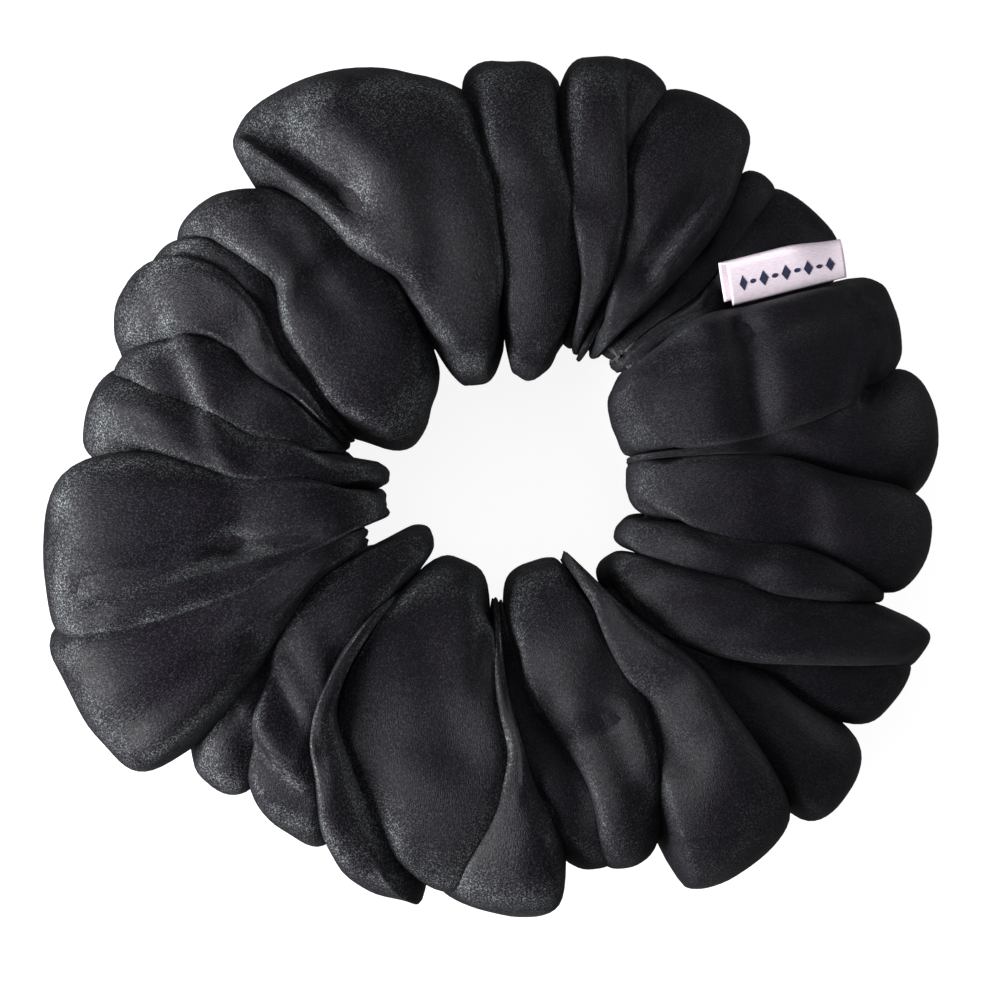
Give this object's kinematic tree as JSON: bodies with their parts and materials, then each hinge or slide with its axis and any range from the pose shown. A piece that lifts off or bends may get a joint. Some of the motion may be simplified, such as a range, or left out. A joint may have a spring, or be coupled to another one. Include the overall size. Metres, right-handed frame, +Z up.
{
  "type": "scrunchie",
  "caption": "Gathered velvet hair tie: a ruched fabric sleeve on an elastic ring, with a folded ribbon label in its closing seam.",
  "frame": {"origin": "middle of the throat, half way up its round wall", "axes": "+Z up along the throat, +X through the crosswise closing seam and its label, +Y to the left of that"},
  "size_m": [0.1168, 0.1184, 0.034],
  "materials": {
    "black_velvet": "polyester pile velvet, deep black with a cool grey sheen at grazing angles",
    "braided_elastic": "flat braided elastic, matt black",
    "sewing_thread": "spun polyester thread, matt black",
    "pink_satin": "pale pink satin ribbon with woven edges",
    "navy_print": "dark navy printed ink on ribbon"
  },
  "bodies": {
    "far_half": {"velvet_cover_far_half": "black_velvet", "elastic_far_half": "braided_elastic", "long_seam_stitches_far_half": "sewing_thread"},
    "seam_half": {"velvet_cover_seam_half": "black_velvet", "elastic_seam_half": "braided_elastic", "elastic_join_stitches": "sewing_thread", "long_seam_stitches_seam_half": "sewing_thread", "closing_seam_stitches": "sewing_thread"},
    "label": {"label_ribbon": "pink_satin", "label_motif": "navy_print"}
  },
  "joints": [
    {"name": "stretch", "type": "slide", "parent": "far_half", "child": "seam_half", "axis": [1, 0, 0], "range_m": [0, 0.06], "stiffness_N_per_m": 150},
    {"name": "label_flip", "type": "hinge", "parent": "seam_half", "child": "label", "pos_m": [0.0466, -0.0036, 0.0085], "axis": [0.9205, -0.3907, 0], "range_deg": [-35, 60], "stiffness_Nm_per_rad": 0.0002}
  ]
}
